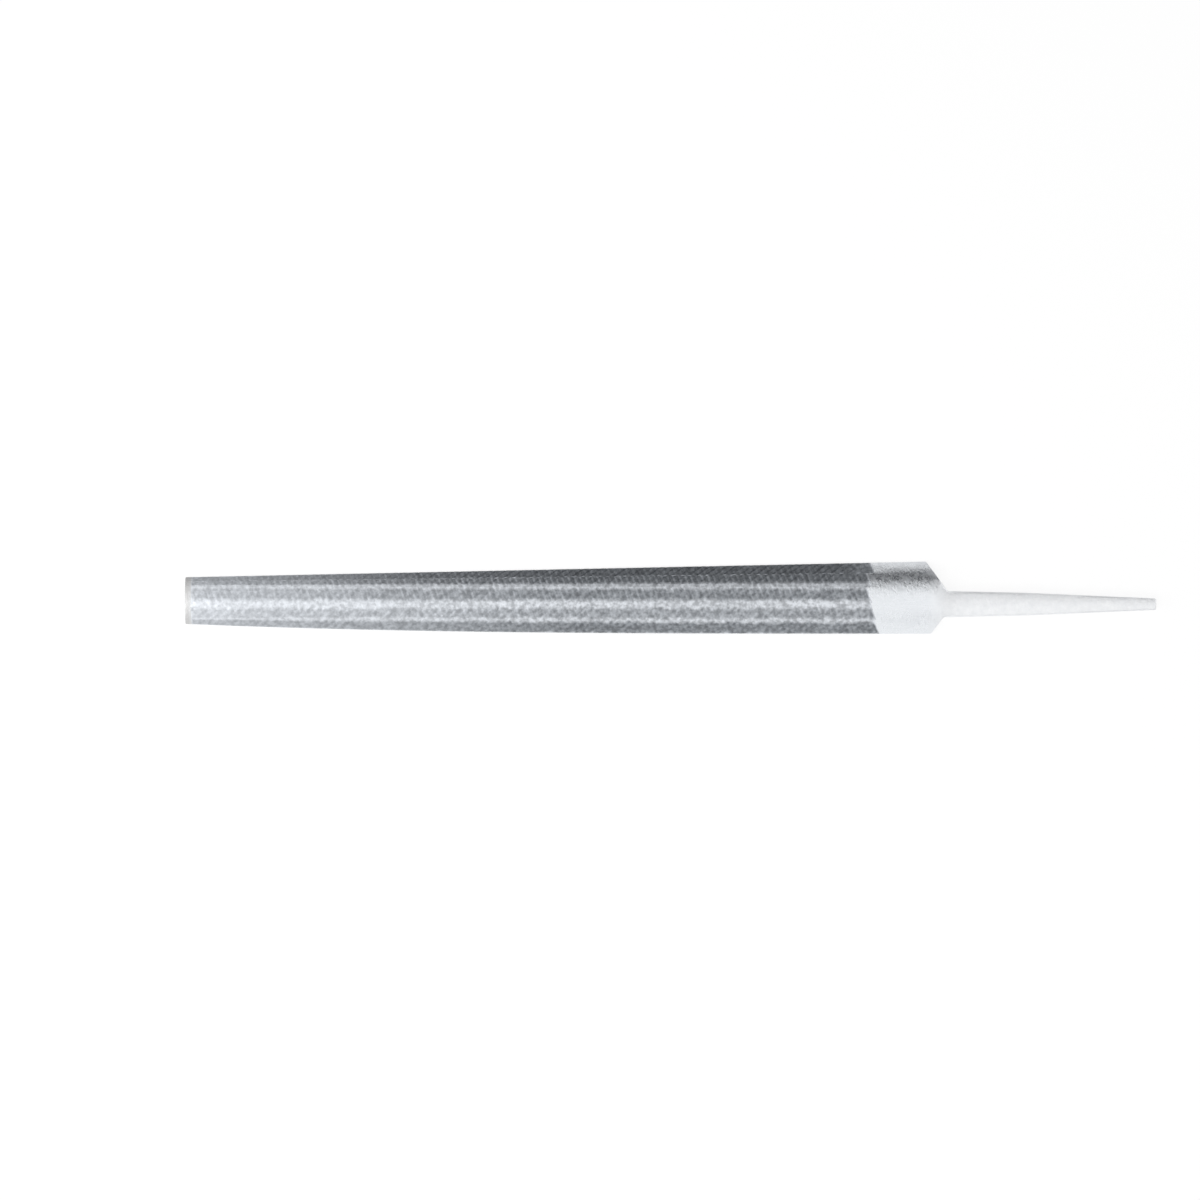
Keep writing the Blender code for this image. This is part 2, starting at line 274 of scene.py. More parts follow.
class BarLimits:
    """The planes and the arc that bound the heel and the tang at x."""

    def __init__(self, x):
        width = tang_size(x, TANG_ROOT_WIDTH, TANG_WAIST_WIDTH, TANG_END_WIDTH)
        height = tang_size(x, TANG_ROOT_THICKNESS, TANG_WAIST_THICKNESS, TANG_END_THICKNESS)
        steepness = math.tan(SHOULDER_ANGLE)
        ramp = (ROOT_X - x) * math.tan(RAMP_ANGLE)
        far_slope = TANG_FAR_SIDE + (ROOT_X - x) * steepness
        near_slope = -TANG_NEAR_SIDE + (ROOT_X - NEAR_SHOULDER_LEAD - x) * steepness
        self.arc = BackArc(min(x, 0.0))
        self.near_edge, self.far_edge = edges(x)
        self.far = soft_max(TANG_OFFSET + width / 2, far_slope, SHOULDER_FILLET)
        self.near = -soft_max(width / 2 - TANG_OFFSET, near_slope, SHOULDER_FILLET)
        half_height = soft_max(height / 2, TANG_ROOT_THICKNESS / 2 + ramp, RAMP_FILLET)
        self.top = TANG_HEIGHT + half_height
        self.bottom = TANG_HEIGHT - half_height
        on_heel = smooth_step(x, HEEL_LINE_X, HEEL_LINE_X + 2 * HEEL_STEP)
        on_tang = smooth_step(x, 0.0, ROOT_X + RAMP_FILLET)
        self.rounding = BLADE_ROUNDING + (HEEL_ROUNDING - BLADE_ROUNDING) * on_heel
        self.rounding += (height * TANG_ROUNDING_SHARE - HEEL_ROUNDING) * on_tang
        into_end = max(0.0, x - (END_X - END_ROUNDING))
        self.inset = END_ROUNDING - math.sqrt(max(0.0, END_ROUNDING**2 - into_end**2))
        self.half_tang = width / 2
        self.crown = width * TANG_CROWN_SHARE * on_tang

    def outline(self, parts):
        """The outline at x with sharp corners, with as many points as the blade's has."""
        near, far = max(self.near, self.near_edge), min(self.far, self.far_edge)
        lowest = max(self.bottom, 0.0)
        start, end = self.arc.above(near), self.arc.above(far)
        borders = self.arc.borders
        outline = []
        for angle in back_angles(self.arc, parts):
            share = (angle - borders[0]) / (borders[-1] - borders[0])
            point = self.arc.at(start + (end - start) * share)
            outline.append((point.y, min(point.z, self.top)))
        side_top = min(self.arc.at(end).z, self.top)
        outline += [(far, z) for z in between(side_top, lowest, parts)]
        outline += [(y, lowest) for y in between(far, near, FLAT_COLUMNS * parts)]
        side_top = min(self.arc.at(start).z, self.top)
        outline += [(near, z) for z in between(lowest, side_top, parts)]
        return np.array(outline)

    def outside(self, points):
        """How far points lie outside the bar, which is rounded where its bounds meet."""
        y, z = points[:, 0], points[:, 1]
        from_centre = np.hypot(y - self.arc.centre.y, z - self.arc.centre.z)
        beyond = np.stack(
            [
                from_centre - self.arc.radius,
                z - self.top + self.crown * ((y - TANG_OFFSET) / self.half_tang) ** 2,
                self.bottom - z,
                -z,
                y - self.far,
                y - self.far_edge,
                self.near - y,
                self.near_edge - y,
            ]
        )
        beyond += self.inset
        into_corner = np.maximum(beyond + self.rounding, 0.0)
        deep_inside = np.minimum(beyond.max(axis=0), -self.rounding)
        return deep_inside + np.sqrt((into_corner**2).sum(axis=0))


def bar_section(x, parts):
    """The rounded outline across the heel or the tang at x, found along rays from the tang's axis."""
    limits = BarLimits(x)
    axis = np.array([TANG_OFFSET, TANG_HEIGHT])
    rays = limits.outline(parts) - axis
    low = np.zeros(len(rays))
    high = np.full(len(rays), RAY_REACH)
    for _ in range(HALVINGS):
        middle = (low + high) / 2
        outside = limits.outside(axis + rays * middle[:, None]) > 0
        high = np.where(outside, middle, high)
        low = np.where(outside, low, middle)
    found = axis + rays * low[:, None]
    return [Vector((x, y, z)) for y, z in found]


def stepped(start, end, step):
    """Values from start to end, both included, at most step apart."""
    parts = math.ceil((end - start) / step)
    return [start + (end - start) * i / parts for i in range(parts + 1)]


def tip_sections():
    """The outlines that round the tip off, from its face to where the blade is full."""
    for i in range(TIP_ROUNDING_STEPS + 1):
        angle = math.pi / 2 * i / TIP_ROUNDING_STEPS
        x = TIP_ROUNDING * (1 - math.cos(angle)) - BLADE_LENGTH
        yield blade_section(x, TIP_ROUNDING * (1 - math.sin(angle)))


def bar_stations():
    """Where the heel and the tang have an outline, closest together at the shoulders and the end."""
    stations = stepped(HEEL_LINE_X, -HEEL_STEP / 2, HEEL_STEP)[1:]
    stations += stepped(-HEEL_STEP / 2, ROOT_X + RAMP_FILLET, SHOULDER_STEP)[1:]
    stations += stepped(ROOT_X + RAMP_FILLET, END_X - END_ROUNDING, TANG_STEP)[1:]
    for i in range(1, END_STEPS + 1):
        stations.append(END_X - END_ROUNDING * (1 - math.sin(math.pi / 2 * i / END_STEPS)))
    return stations


def bar_blank(bm):
    """The whole bar before any tooth is cut, in fine columns on the heel and the tang.

    Each face of the blade remembers its column, counted from 1. All others have column 0.
    """
    column = bm.faces.layers.int.new("column")
    stations = stepped(TIP_LINE_X, HEEL_LINE_X, (HEEL_LINE_X - TIP_LINE_X) / BLADE_STATIONS)
    sections = [*tip_sections(), *(blade_section(x) for x in stations[:-1])]
    rings = [[bm.verts.new(point) for point in section] for section in sections]
    joint = [bm.verts.new(point) for point in blade_section(HEEL_LINE_X, parts=FINE_PARTS)]
    for ring, following in zip(rings, rings[1:]):
        for i in range(len(ring)):
            j = (i + 1) % len(ring)
            face = bm.faces.new((ring[i], ring[j], following[j], following[i]))
            face[column] = i + 1
    for i in range(len(rings[-1])):
        j = (i + 1) % len(rings[-1])
        fine = [joint[(i * FINE_PARTS + part) % len(joint)] for part in range(FINE_PARTS, -1, -1)]
        face = bm.faces.new((rings[-1][i], rings[-1][j], *fine))
        face[column] = i + 1
    bar = [joint]
    bar += [[bm.verts.new(point) for point in bar_section(x, FINE_PARTS)] for x in bar_stations()]
    for ring, following in zip(bar, bar[1:]):
        for i in range(len(ring)):
            j = (i + 1) % len(ring)
            bm.faces.new((ring[i], ring[j], following[j], following[i]))
    bm.faces.new(rings[0][::-1])
    bm.faces.new(bar[-1])
    bmesh.ops.recalc_face_normals(bm, faces=bm.faces[:])
    return column


def crossings(face, height):
    """The corners of a face at which its outline goes through the plane that height is measured from."""
    corners = list(face.verts)
    first = next(i for i, corner in enumerate(corners) if height[corner])
    found = []
    was_beyond = height[corners[first]] > 0
    for corner in corners[first + 1 :] + corners[: first + 1]:
        if not height[corner]:
            on_plane = corner
        elif (height[corner] > 0) != was_beyond:
            found.append(on_plane)
            was_beyond = not was_beyond
    return found


def split(faces, point, normal):
    """Scores faces along a plane, and returns those before it and those beyond it."""
    level = normal.dot(point)
    height = {}
    for face in faces:
        for corner in face.verts:
            if corner not in height:
                distance = normal.dot(corner.co) - level
                height[corner] = 0.0 if abs(distance) < SNAP else distance
    before = []
    beyond = []
    waiting = list(faces)
    while waiting:
        face = waiting.pop()
        heights = [height[corner] for corner in face.verts]
        if max(heights) <= 0:
            before.append(face)
        elif min(heights) >= 0:
            beyond.append(face)
        else:
            for edge in face.edges[:]:
                near, far = edge.verts
                if height[near] * height[far] < 0:
                    share = height[near] / (height[near] - height[far])
                    _, made = bmesh.utils.edge_split(edge, near, share)
                    height[made] = 0.0
            start, end = crossings(face, height)[:2]
            rest, _ = bmesh.utils.face_split(face, start, end)
            waiting += [face, rest]
    return before, beyond


class Rows:
    """The rows that one pass of the chisel leaves in a course, as uneven as real ones.

    A row is told by its lead, which is where it crosses the course's middle, along X.
    """

    def __init__(self, course, lean, pitch, share):
        self.middle = course.middle
        self.lean = lean
        self.normal = ALONG * math.cos(lean) + course.across * math.sin(lean)
        self.step = pitch / math.cos(lean)
        self.share = share

    def lead(self, point):
        return self.normal.dot(point - self.middle) / math.cos(self.lean)

    def lay_out(self, strip, draw, last=None):
        """Places the crests from the last one back to before the strip's start."""
        leads = [self.lead(corner.co) for face in strip for corner in face.verts]
        first = min(leads)
        crests = [max(leads) + self.step if last is None else last]
        while crests[-1] > first:
            crests.append(crests[-1] - self.step * (1 + PITCH_UNEVENNESS * draw.uniform(-1, 1)))
        self.crests = crests[::-1]
        self.depths = [
            self.share * (1 + DEPTH_UNEVENNESS * draw.uniform(-1, 1)) for _ in self.crests
        ]
        self.reaches = [REACH_UNEVENNESS * draw.uniform(-1, 1) for _ in self.crests]

    def score(self, strip):
        """Scores the line of every tooth's root and crest, from the tip to the heel."""
        ahead = [(min(self.lead(c.co) for c in face.verts), i) for i, face in enumerate(strip)]
        ahead.sort(reverse=True)
        reached = []
        for crest, following in zip(self.crests, self.crests[1:]):
            root = following - FACE_SHARE * (following - crest)
            for lead in (root, following):
                while ahead and ahead[-1][0] < lead:
                    reached.append(strip[ahead.pop()[1]])
                _, reached = split(reached, self.middle + ALONG * lead, self.normal)

    def row(self, lead):
        """Which row of teeth lies at a lead."""
        return max(1, min(len(self.crests) - 1, bisect.bisect(self.crests, lead)))

    def reach(self, point):
        """How much farther than evenly the row at point reaches, as a share of its course's width."""
        return self.reaches[self.row(self.lead(point))]

    def depth(self, point):
        """The share of the whole depth to which this pass sinks point."""
        lead = self.lead(point)
        row = self.row(lead)
        crest, following = self.crests[row - 1], self.crests[row]
        phase = max(0.0, min(1.0, (lead - crest) / (following - crest)))
        return self.depths[row] * min(phase / (1 - FACE_SHARE), (1 - phase) / FACE_SHARE)


class Course:
    """A strip of the blade that the chisel cuts from tip to heel, first one way and then the other."""

    def __init__(self, columns, facing, middle, last_row, draw):
        self.columns = columns
        self.middle = middle
        self.across = Vector((0.0, math.cos(facing), -math.sin(facing)))
        self.last_row = last_row
        self.draw = draw
        self.upcut = Rows(self, UPCUT_LEAN, UPCUT_PITCH, UPCUT_SHARE)
        self.overcut = Rows(self, OVERCUT_LEAN, OVERCUT_PITCH, OVERCUT_SHARE)

    def faces(self, bm, column):
        """The course's faces that are marked as cut."""
        return [
            face
            for face in bm.faces
            if face[column] in self.columns and face.material_index == CUT_SLOT
        ]

    def score(self, bm, column):
        """Marks the faces between the tip's line and the last row as cut, and scores both passes."""
        strip = [
            face
            for face in bm.faces
            if face[column] in self.columns and face.calc_center_median().x > TIP_LINE_X
        ]
        end = self.middle + ALONG * self.last_row
        strip, _ = split(strip, end, self.upcut.normal)
        for face in strip:
            face.material_index = CUT_SLOT
        self.upcut.lay_out(strip, self.draw, self.last_row)
        self.overcut.lay_out(strip, self.draw)
        self.upcut.score(strip)
        self.overcut.score(self.faces(bm, column))

    def sinks(self, bm, column):
        """For each corner of the course: the corner, its way down, and how much painted shade it gets,
        more down in the roots and where the cut is deep.
        """
        for corner in {corner for face in self.faces(bm, column) for corner in face.verts}:
            from_tip = corner.co.x - TIP_LINE_X
            from_last_row = self.last_row - self.upcut.lead(corner.co)
            fade = max(0.0, min(1.0, from_tip / END_FADE, from_last_row / END_FADE))
            share = fade * (self.upcut.depth(corner.co) + self.overcut.depth(corner.co))
            away_from_tip = min(1.0, (corner.co.x + BLADE_LENGTH) / SHALLOW_LENGTH)
            depth_share = TIP_DEPTH_SHARE + (1 - TIP_DEPTH_SHARE) * away_from_tip
            root = self.root(corner.co)
            # painted shade: darker down in the roots and where the cut is deep
            shade_amount = fade * CREST_SHADE_SHARE + (1 - CREST_SHADE_SHARE) * share
            shade_amount *= min(1.0, root.length / BACK_TOOTH_DEPTH)
            yield corner, root * share * depth_share, shade_amount


class FlatCourse(Course):
    """The one course of the flat side, equally deep all over."""

    def __init__(self, columns, draw):
        super().__init__(columns, math.pi, Vector(), -BARE_HEEL, draw)

    def root(self, _point):
        return Vector((0.0, 0.0, FLAT_TOOTH_DEPTH))


class BackCourse(Course):
    """A course of the back. The chisel is straight, so its cut fades out towards the course's borders."""

    def __init__(self, index, columns, last_row, draw):
        self.index = index
        heel = BackArc(0.0)
        facing = (heel.borders[index] + heel.borders[index + 1]) / 2
        super().__init__(columns, facing, heel.at(facing), last_row, draw)

    def root(self, point):
        """The way from the ground surface straight in to the tooth's root."""
        arc = BackArc(point.x)
        start, end = arc.borders[self.index], arc.borders[self.index + 1]
        angle = arc.angle_of(point)
        share = (angle - start) / (end - start)
        near_seam, far_seam = SEAM_SHARES[self.index]
        from_seam = min(share - near_seam, 1 - far_seam - share) + self.upcut.reach(point)
        full_depth = BACK_TOOTH_DEPTH * COURSE_DEPTH_SHARES[self.index]
        depth = LEAST_DEPTH + (full_depth - LEAST_DEPTH) * smooth_step(from_seam, 0.0, RUN_OUT_SHARE)
        return Vector((0.0, -math.sin(angle), -math.cos(angle))) * depth


def courses():
    """All the courses of the blade, with the columns that each one takes up."""
    draw = random.Random(SEED)
    for i, stagger_share in enumerate(STAGGER_SHARES):
        columns = range(1 + i * COURSE_COLUMNS, 1 + (i + 1) * COURSE_COLUMNS)
        yield BackCourse(i, columns, -BARE_HEEL - COURSE_STAGGER * stagger_share, draw)
    yield FlatCourse(FLAT_SIDE, draw)


def is_station_line(edge):
    """True for a line left straight across the teeth by an outline of the blade."""
    start, end = edge.verts
    within_teeth = all(face.material_index == CUT_SLOT for face in edge.link_faces)
    return within_teeth and abs(start.co.x - end.co.x) < SNAP


def is_flat_column_line(edge, column):
    """True for a line left along the teeth of the flat side, which is plane, by two of its columns."""
    return (
        len(edge.link_faces) == 2
        and all(f[column] in FLAT_SIDE and f.material_index == CUT_SLOT for f in edge.link_faces)
        and edge.link_faces[0][column] != edge.link_faces[1][column]
    )


def file_mesh():
    """The whole file as one closed mesh, whose layer painted_shade tells how much painted shade the cut
    gets at each corner.
    """
    bm = bmesh.new()
    column = bar_blank(bm)
    painted_shade = bm.verts.layers.float.new("painted_shade")
    passes = list(courses())
    for course in passes:
        course.score(bm, column)
    leftover = [e for e in bm.edges if is_station_line(e) or is_flat_column_line(e, column)]
    bmesh.ops.dissolve_edges(bm, edges=leftover, use_verts=True)
    sinks = {}
    for course in passes:
        for corner, way, shade_amount in course.sinks(bm, column):
            if corner not in sinks or way.length > sinks[corner][0].length:
                sinks[corner] = way, shade_amount
    for corner, (way, shade_amount) in sinks.items():
        corner.co += way
        corner[painted_shade] = shade_amount
    cut = [face for face in bm.faces if face.material_index == CUT_SLOT]
    bmesh.ops.triangulate(bm, faces=cut)
    for face in bm.faces:
        face.smooth = face.material_index != CUT_SLOT
    for edge in bm.edges:
        sharp = len(edge.link_faces) == 2 and edge.calc_face_angle() > SMOOTH_BELOW
        edge.smooth = not sharp and len({f.material_index for f in edge.link_faces}) == 1
    bm.faces.layers.int.remove(column)
    mesh = bpy.data.meshes.new("file_bar")
    bm.to_mesh(mesh)
    bm.free()
    return mesh


def add_node(tree, kind, inputs=None, **settings):
    """A new node with its settings made, and its inputs linked where a socket is given, or else set."""
    node = tree.nodes.new(kind)
    for name, value in settings.items():
        setattr(node, name, value)
    for name, value in (inputs or {}).items():
        socket = node.inputs[name]
        if isinstance(value, bpy.types.NodeSocket):
            tree.links.new(value, socket)
        else:
            socket.default_value = value
    return node


def maths(tree, operation, first, second=0.0):
    """The output of a maths node."""
    node = add_node(tree, "ShaderNodeMath", {0: first, 1: second}, operation=operation)
    return node.outputs[0]


def remap(tree, value, start, end, low=0.0, high=1.0):
    """A value mapped from start and end to low and high, and held between them."""
    inputs = {"Value": value, "From Min": start, "From Max": end, "To Min": low, "To Max": high}
    return add_node(tree, "ShaderNodeMapRange", inputs).outputs["Result"]


def mixed(tree, factor, first, second, blend="MIX"):
    """Two colours mixed."""
    inputs = {0: factor, 6: first, 7: second}
    node = add_node(tree, "ShaderNodeMix", inputs, data_type="RGBA", blend_type=blend)
    return node.outputs[2]


def place_in(tree, unit):
    """The place on the object, counted in a unit, and its three parts."""
    place = add_node(tree, "ShaderNodeTexCoord").outputs["Object"]
    inputs = {0: place, "Scale": 1 / unit}
    counted = add_node(tree, "ShaderNodeVectorMath", inputs, operation="SCALE").outputs[0]
    parts = add_node(tree, "ShaderNodeSeparateXYZ", {0: counted}).outputs
    return counted, parts


def stretched(tree, place, scales):
    """The place with each axis scaled by itself."""
    inputs = {0: place, 1: scales}
    return add_node(tree, "ShaderNodeVectorMath", inputs, operation="MULTIPLY").outputs[0]


def noise(tree, place, scale, detail, roughness):
    """Soft noise whose spots are about one over scale wide, in the unit of place."""
    inputs = {"Vector": place, "Scale": scale, "Detail": detail, "Roughness": roughness}
    return add_node(tree, "ShaderNodeTexNoise", inputs).outputs[0]


def bump(tree, height, distance, strength):
    """The normal that a height gives, with distance as the real height of the relief."""
    inputs = {"Height": height, "Distance": distance, "Strength": strength}
    return add_node(tree, "ShaderNodeBump", inputs).outputs[0]


def colour(red, green, blue):
    return (red, green, blue, 1.0)


def grey(value):
    return colour(value, value, value)


def new_steel(name):
    """A new metal with its node tree and its main shader."""
    material = bpy.data.materials.new(name)
    material.use_nodes = True
    shader = material.node_tree.nodes["Principled BSDF"]
    shader.inputs["Metallic"].default_value = 1.0
    return material, material.node_tree, shader


# Noises on the steel, in millimetres: how fine each one is, how detailed, and how rough in its detail
FLECKS = (0.65, 2.0, 0.55)
CLOUDS = (0.07, 2.0, 0.5)
DENTS = (0.6, 3.0, 0.6)
GROUND_LINES = (7.0, 3.0, 0.7)
GROUND_SPOTS = (0.55, 1.5, 0.5)
GROUND_WAVES = (0.75, 3.0, 0.6)
FORGED_SPOTS = (0.55, 3.0, 0.55)
FORGED_CLOUDS = (0.12, 3.0, 0.5)
LINE_SCALES = (0.03, 1.0, 1.0)  # along the file, across it and up, which draws the noise out
WAVE_SCALES = (1.8, 1.0, 1.0)
NOISE_RANGE = (0.3, 0.7)  # between which most of a noise lies
FLECK_RANGE = (0.36, 0.64)
SPOT_RANGE = (0.35, 0.65)

# The toothed steel, bright on the crests and darkened by painted shade down in the roots and where the
# cut is deep
# The crests keep the steel's own colour; the roots' colour is painted shade
CREST_STEEL = colour(0.83, 0.86, 0.905)
SHADED_ROOT_STEEL = colour(0.273, 0.292, 0.316)
PAINTED_SHADE_RANGE = (0.10, 1.0)  # of the mesh's layer, over which the painted shade turns a crest's steel into a root's
TIP_SHADE_SHARE = 0.46  # of the painted shade where the teeth are full, so that painted light makes the toothed steel lighter towards the tip
TIP_FLECK_SHADE = 0.80  # how much of the steel's colour the darkest flecks leave at the tip, paler there as painted light
FULL_FLECK_SHADE = 0.60  # and where the teeth are full
CLOUD_SHADE = 0.94
TOOTH_ROUGHNESS = (0.56, 0.44)  # of dark flecks and of bright ones
DENT_HEIGHT = 0.16 * MM
DENT_STRENGTH = 1.0

# The bare steel, each kind with its darkest and its brightest colour, or its least and most roughness
GROUND_STEELS = (colour(0.785, 0.81, 0.84), colour(0.865, 0.89, 0.92))
FORGED_STEELS = (colour(0.90, 0.913, 0.93), colour(0.967, 0.977, 0.99))
TIP_STEEL = grey(0.60)
TIP_STEEL_ENDS = (4.0 * MM, 1.0 * MM)  # how far from the tip its steel begins and is all that shows
GROUND_ROUGHNESS = (0.20, 0.37)
FORGED_ROUGHNESS = (0.48, 0.58)
RELIEF_HEIGHT = 0.09 * MM
RELIEF_STRENGTH = 0.8
LINE_SHARE = 0.05  # of the relief's height
WAVE_SHARE = 2.0


def toothed_steel():
    """Hardened steel as the chisel leaves it, with painted shade: bright on the crests and darker down in
    the roots and where the cut is deep.
    """
    material, tree, shader = new_steel("toothed_steel")
    place, (along, _, _) = place_in(tree, MM)
    # painted shade from the mesh's layer: darker down in the roots and where the cut is deep
    painted_shade = add_node(tree, "ShaderNodeAttribute", attribute_name="painted_shade").outputs["Fac"]
    flecks = noise(tree, place, *FLECKS)
    # painted light: the toothed steel and its darkest flecks get lighter towards the tip
    from_tip = remap(tree, along, -BLADE_LENGTH / MM, (SHALLOW_LENGTH - BLADE_LENGTH) / MM)
    away_from_tip = remap(tree, from_tip, 0.0, 1.0, TIP_SHADE_SHARE, 1.0)
    shade_amount = maths(tree, "MULTIPLY", remap(tree, painted_shade, *PAINTED_SHADE_RANGE), away_from_tip)
    steel = mixed(tree, shade_amount, CREST_STEEL, SHADED_ROOT_STEEL)
    darkest = remap(tree, from_tip, 0.0, 1.0, TIP_FLECK_SHADE, FULL_FLECK_SHADE)
    flecked = remap(tree, flecks, *FLECK_RANGE, darkest, 1.0)
    clouded = remap(tree, noise(tree, place, *CLOUDS), *NOISE_RANGE, CLOUD_SHADE, 1.0)
    shade = maths(tree, "MULTIPLY", flecked, clouded)
    shades = add_node(tree, "ShaderNodeCombineColor", {0: shade, 1: shade, 2: shade}).outputs[0]
    tree.links.new(mixed(tree, 1.0, steel, shades, "MULTIPLY"), shader.inputs["Base Color"])
    roughness = remap(tree, flecks, *NOISE_RANGE, *TOOTH_ROUGHNESS)
    tree.links.new(roughness, shader.inputs["Roughness"])
    dents = noise(tree, place, *DENTS)
    tree.links.new(bump(tree, dents, DENT_HEIGHT, DENT_STRENGTH), shader.inputs["Normal"])
    return material


def bare_steel():
    """The steel that no tooth is cut in: ground bright on the heel, dull on the forged tang."""
    material, tree, shader = new_steel("bare_steel")
    place, (along, _, _) = place_in(tree, MM)
    lines = noise(tree, stretched(tree, place, LINE_SCALES), *GROUND_LINES)
    waves = noise(tree, stretched(tree, place, WAVE_SCALES), *GROUND_WAVES)
    on_tang = remap(tree, along, 0.0, ROOT_X / MM)
    at_tip = remap(tree, along, *((end - BLADE_LENGTH) / MM for end in TIP_STEEL_ENDS))

    ground = mixed(tree, remap(tree, lines, *NOISE_RANGE), *GROUND_STEELS)
    forged_spots = noise(tree, place, *FORGED_SPOTS)
    forged = mixed(tree, remap(tree, forged_spots, *NOISE_RANGE), *FORGED_STEELS)
    steel = mixed(tree, on_tang, ground, forged)
    tree.links.new(mixed(tree, at_tip, steel, TIP_STEEL), shader.inputs["Base Color"])

    ground_spots = noise(tree, place, *GROUND_SPOTS)
    smoother = remap(tree, ground_spots, *SPOT_RANGE, *GROUND_ROUGHNESS)
    forged_clouds = noise(tree, place, *FORGED_CLOUDS)
    rougher = remap(tree, forged_clouds, *NOISE_RANGE, *FORGED_ROUGHNESS)
    inputs = {0: maths(tree, "MAXIMUM", on_tang, at_tip), 2: smoother, 3: rougher}
    roughness = add_node(tree, "ShaderNodeMix", inputs, data_type="FLOAT").outputs[0]
    tree.links.new(roughness, shader.inputs["Roughness"])

    line_relief = maths(tree, "MULTIPLY", lines, LINE_SHARE)
    wave_relief = maths(tree, "MULTIPLY", waves, WAVE_SHARE)
    relief = maths(tree, "ADD", line_relief, wave_relief)
    tree.links.new(bump(tree, relief, RELIEF_HEIGHT, RELIEF_STRENGTH), shader.inputs["Normal"])
    return material


def dressed_file():
    """The file's one piece, in place of its CAD node."""
    mesh = file_mesh()
    mesh.materials.append(bare_steel())
    mesh.materials.append(toothed_steel())
    piece = bpy.data.objects.new("file_bar", mesh)
    piece.location.x = HEEL_X
    bpy.context.scene.collection.objects.link(piece)
    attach(piece, "root")
    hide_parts(NODE)


# The studio: a camera square above the file, a white floor, soft lamps and dark cards out of the view
VIEW_CENTRE = Vector((-0.0238, -0.0008, 0.0))
VIEW_WIDTH = 0.4054
LENS = 150.0
SENSOR = 36.0
FLOOR_SIZE = 6.0
FLOOR_GAP = 0.05 * MM
FLOOR_GLOW = 0.81  # how much of the floor's white is its own
FLOOR_GREY = 0.24  # how much it gives back of the light that falls on it
WORLD_FILL = 0.55  # how bright the world is where it is neither seen nor reflected
OVERHEAD_LAMP = {"place": Vector((-0.15, -0.45, 1.1)), "size": (1.2, 0.9), "power": 4.0}
TIP_LAMP = {"place": Vector((-0.40, -0.06, 0.18)), "size": (0.36, 0.50), "power": 0.7}

# The dark cards, with their ends along X and, where they stand, their place along Y and their top
CARD_BLACK = colour(0.017, 0.020, 0.030)
FAR_CARD_ENDS = (-0.9, 0.5)
FAR_CARD_Y = 0.24
FAR_CARD_TOP = 1.8
NEAR_CARD_ENDS = (0.17, 0.80)
NEAR_CARD_Y = -0.24
NEAR_CARD_TOP = 0.25
NEAR_CARD_DENSITY = 0.6
LOW_CARD_ENDS = (-0.60, 0.30)
LOW_CARD_GAP = 0.3 * MM  # to the far edge of the blade

# How high the far card's gauze reaches at two places along X, and its density at shares of that height
GAUZE_PLACES = (-0.164, 0.802)
GAUZE_HEIGHTS = (0.072, 2.1)
GAUZE_DENSITY_SHARES = (
    (0.0, 0.15),
    (0.10, 0.65),
    (0.20, 0.93),
    (0.38, 0.95),
    (0.47, 0.50),
    (0.62, 0.32),
    (0.85, 0.10),
    (1.0, 0.0),
)

# How dense the low card is beside the tip, the blade and the tang, and where along X that changes
LOW_CARD_DENSITIES = (0.5, 0.95, 0.15)
TIP_TO_BLADE = (-0.164, -0.080)
BLADE_TO_TANG = (0.060, 0.068)


def camera():
    """The camera, with the whole frame VIEW_WIDTH wide where the file lies."""
    data = bpy.data.cameras.new("camera")
    data.lens = LENS
    data.sensor_width = SENSOR
    data.clip_end = 10 * FLOOR_SIZE
    made = bpy.data.objects.new("camera", data)
    made.location = VIEW_CENTRE + Vector((0.0, 0.0, VIEW_WIDTH * LENS / SENSOR))
    bpy.context.scene.collection.objects.link(made)
    bpy.context.scene.camera = made


def seen_directly(tree):
    """1 for rays from the camera and for reflected or refracted ones, and 0 for the light's own."""
    path = add_node(tree, "ShaderNodeLightPath").outputs
    seen = maths(tree, "MAXIMUM", path["Is Camera Ray"], path["Is Glossy Ray"])
    return maths(tree, "MAXIMUM", seen, path["Is Transmission Ray"])


def staged(name, corners, material):
    """A flat piece of the studio with four corners, which go round anticlockwise as its front is seen."""
    mesh = bpy.data.meshes.new(name)
    mesh.from_pydata(corners, [], [(0, 1, 2, 3)])
    mesh.materials.append(material)
    made = bpy.data.objects.new(name, mesh)
    bpy.context.scene.collection.objects.link(made)
    return made


def blank_material(name):
    """A new material with an empty node tree."""
    material = bpy.data.materials.new(name)
    material.use_nodes = True
    material.node_tree.nodes.clear()
    return material, material.node_tree


def floor():
    """The white floor, which keeps a soft shadow."""
    material, tree = blank_material("floor_white")
    lit = add_node(tree, "ShaderNodeBsdfDiffuse", {"Color": grey(FLOOR_GREY)}).outputs[0]
    glow = maths(tree, "MULTIPLY", seen_directly(tree), FLOOR_GLOW)
    own = add_node(tree, "ShaderNodeEmission", {"Strength": glow}).outputs[0]
    both = add_node(tree, "ShaderNodeAddShader", {0: lit, 1: own}).outputs[0]
    from_below = add_node(tree, "ShaderNodeNewGeometry").outputs["Backfacing"]
    clear = add_node(tree, "ShaderNodeBsdfTransparent").outputs[0]
    one_sided = add_node(tree, "ShaderNodeMixShader", {0: from_below, 1: both, 2: clear}).outputs[0]
    add_node(tree, "ShaderNodeOutputMaterial", {"Surface": one_sided})
    end = FLOOR_SIZE / 2
    corners = [(x, y, -FLOOR_GAP) for x, y in ((-end, -end), (end, -end), (end, end), (-end, end))]
    staged("floor", corners, material)


def upright(ends, y, top):
    """The corners of a card that stands on the floor."""
    start, end = ends
    return [(start, y, 0.0), (end, y, 0.0), (end, y, top), (start, y, top)]


